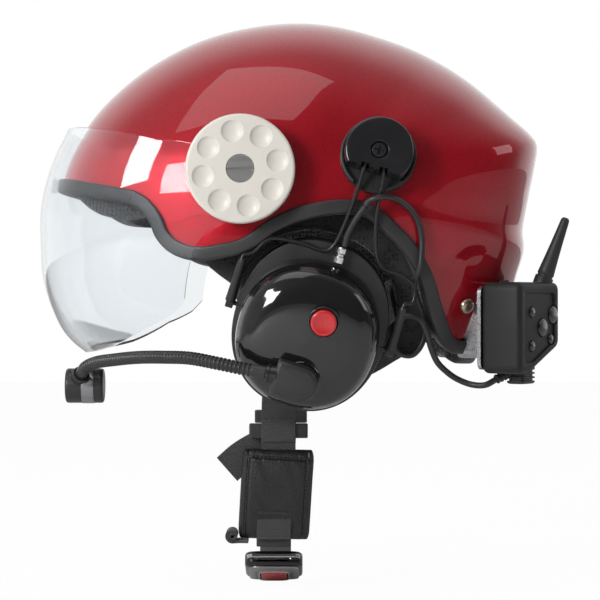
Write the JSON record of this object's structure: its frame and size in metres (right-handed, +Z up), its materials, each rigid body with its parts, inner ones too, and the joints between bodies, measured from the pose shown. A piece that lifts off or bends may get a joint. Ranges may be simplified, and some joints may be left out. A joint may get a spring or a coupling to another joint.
{
  "type": "paramotor helmet",
  "caption": "Open-face flying helmet with a flip-up clear visor, ear cups on wire arms, boom microphone, clip-on intercom and chin strap.",
  "frame": {"origin": "where the crown of the wearer's head seats against the comfort liner", "axes": "+Z up, -Y out of the face opening, +X to the wearer's left; millimetres in the source, metres here"},
  "size_m": [0.2822, 0.2999, 0.3263],
  "materials": {
    "shell_paint": "deep metallic red gloss lacquer on a moulded fibre shell",
    "vent_mesh": "fine woven mesh",
    "trim_rubber": "satin",
    "foam": "expanded bead foam",
    "lining": "brushed cloth",
    "mesh_fabric": "black spacer mesh",
    "visor_clear": "clear hard-coated plastic",
    "webbing": "woven tape",
    "black_plastic": "fine moulded grain",
    "dark_steel": "blackened",
    "rivet_brass": "dull plated",
    "cover_grey": "satin light grey",
    "bright_metal": "plated",
    "gloss_black": "gloss",
    "leather": "soft grained",
    "red_plastic": "gloss",
    "cable_rubber": "matt",
    "grey_plastic": "matt dark grey",
    "key_rubber": "gloss"
  },
  "bodies": {
    "helmet": {"outer_shell": "shell_paint", "rear_vent_mesh": "vent_mesh", "edge_trim": "trim_rubber", "eps_liner": "foam", "comfort_liner": "lining", "rim_padding": "mesh_fabric", "neck_roll": "mesh_fabric", "visor_base_left": "black_plastic", "visor_cover_left": "cover_grey", "visor_screw_left": "bright_metal", "ear_surround_left": "mesh_fabric", "strap_left": "webbing", "mount_base_left": "black_plastic", "mount_cap_left": "black_plastic", "mount_screw_left": "dark_steel", "strap_rivet_left": "rivet_brass", "visor_base_right": "black_plastic", "visor_cover_right": "cover_grey", "visor_screw_right": "bright_metal", "ear_surround_right": "mesh_fabric", "strap_right": "webbing", "mount_base_right": "black_plastic", "mount_cap_right": "black_plastic", "mount_screw_right": "dark_steel", "strap_rivet_right": "rivet_brass", "ear_lead": "cable_rubber", "intercom_lead": "cable_rubber", "clamp_bracket": "bright_metal", "chin_pad": "leather", "buckle_tongue": "bright_metal"},
    "visor_body": {"visor": "visor_clear"},
    "arm_left": {"wire_arm_left": "dark_steel"},
    "arm_right": {"wire_arm_right": "dark_steel"},
    "cup_left": {"cup_plate_left": "black_plastic", "cup_shell_left": "gloss_black", "cup_cushion_left": "leather", "cup_speaker_left": "black_plastic", "cable_hook": "bright_metal", "cup_lead": "cable_rubber"},
    "cup_right": {"cup_plate_right": "black_plastic", "cup_shell_right": "gloss_black", "cup_cushion_right": "leather", "cup_speaker_right": "black_plastic"},
    "boom": {"boom_housing": "black_plastic", "boom_gooseneck": "dark_steel", "mic_head": "black_plastic"},
    "talk": {"talk_button": "red_plastic"},
    "intercom": {"intercom_body": "grey_plastic", "antenna": "cable_rubber", "intercom_plug": "cable_rubber"},
    "answer_key": {"key_answer": "key_rubber"},
    "menu_key": {"key_menu": "key_rubber"},
    "up_key": {"key_up": "key_rubber"},
    "down_key": {"key_down": "key_rubber"},
    "pair_key": {"key_pair": "key_rubber"},
    "latch": {"clamp_latch": "grey_plastic"},
    "slider_left": {"strap_slider_left": "black_plastic"},
    "slider_right": {"strap_slider_right": "black_plastic"},
    "buckle": {"buckle_body": "bright_metal"},
    "release": {"buckle_release": "red_plastic"}
  },
  "joints": [
    {"name": "visor_lift", "type": "hinge", "parent": "helmet", "child": "visor_body", "pos_m": [0, -0.032, -0.054], "axis": [-1, 0, 0], "range_deg": [0, 80]},
    {"name": "arm_flip_left", "type": "hinge", "parent": "helmet", "child": "arm_left", "pos_m": [0.12226, 0.04059, -0.05119], "axis": [-0.0333, -0.9599, 0.2785], "range_deg": [0, 40], "deforming": ["ear_lead"]},
    {"name": "cup_tilt_left", "type": "hinge", "parent": "arm_left", "child": "cup_left", "pos_m": [0.102, 0.0054, -0.1386], "axis": [0, 0.9563, -0.2924], "range_deg": [-14, 0], "deforming": ["cup_lead"]},
    {"name": "arm_flip_right", "type": "hinge", "parent": "helmet", "child": "arm_right", "pos_m": [-0.12226, 0.04059, -0.05119], "axis": [-0.0333, 0.9599, -0.2785], "range_deg": [0, 40]},
    {"name": "cup_tilt_right", "type": "hinge", "parent": "arm_right", "child": "cup_right", "pos_m": [-0.102, 0.0054, -0.1386], "axis": [0, -0.9563, 0.2924], "range_deg": [-14, 0]},
    {"name": "boom_swivel", "type": "hinge", "parent": "cup_left", "child": "boom", "pos_m": [0.12741, 0.00056, -0.16708], "axis": [0.9848, -0.0508, -0.1661], "range_deg": [0, 50]},
    {"name": "talk_press", "type": "slide", "parent": "cup_left", "child": "talk", "axis": [-0.9848, 0.0508, 0.1661], "range_m": [0, 0.0025], "stiffness_N_per_m": 400},
    {"name": "intercom_lift", "type": "slide", "parent": "helmet", "child": "intercom", "axis": [0, 0, 1], "range_m": [0, 0.012], "deforming": ["intercom_lead"]},
    {"name": "answer_press", "type": "slide", "parent": "intercom", "child": "answer_key", "axis": [-0.5736, -0.8192, 0], "range_m": [0, 0.0008], "stiffness_N_per_m": 800},
    {"name": "menu_press", "type": "slide", "parent": "intercom", "child": "menu_key", "axis": [-0.5736, -0.8192, 0], "range_m": [0, 0.0008], "stiffness_N_per_m": 800},
    {"name": "up_press", "type": "slide", "parent": "intercom", "child": "up_key", "axis": [-0.5736, -0.8192, 0], "range_m": [0, 0.0008], "stiffness_N_per_m": 800},
    {"name": "down_press", "type": "slide", "parent": "intercom", "child": "down_key", "axis": [-0.5736, -0.8192, 0], "range_m": [0, 0.0008], "stiffness_N_per_m": 800},
    {"name": "pair_press", "type": "slide", "parent": "intercom", "child": "pair_key", "axis": [-0.5736, -0.8192, 0], "range_m": [0, 0.0008], "stiffness_N_per_m": 800},
    {"name": "latch_press", "type": "slide", "parent": "helmet", "child": "latch", "axis": [0, 0, -1], "range_m": [0, 0.0015], "stiffness_N_per_m": 800},
    {"name": "slider_left_slide", "type": "slide", "parent": "helmet", "child": "slider_left", "axis": [0, 0, 1], "range_m": [-0.0025, 0.008]},
    {"name": "slider_right_slide", "type": "slide", "parent": "helmet", "child": "slider_right", "axis": [0, 0, 1], "range_m": [-0.0025, 0.008]},
    {"name": "buckle_pull", "type": "slide", "parent": "helmet", "child": "buckle", "axis": [-0.9511, 0, -0.309], "range_m": [0, 0.018], "deforming": ["strap_right"]},
    {"name": "release_press", "type": "slide", "parent": "buckle", "child": "release", "axis": [-0.309, 0, 0.9511], "range_m": [0, 0.002], "stiffness_N_per_m": 600}
  ]
}
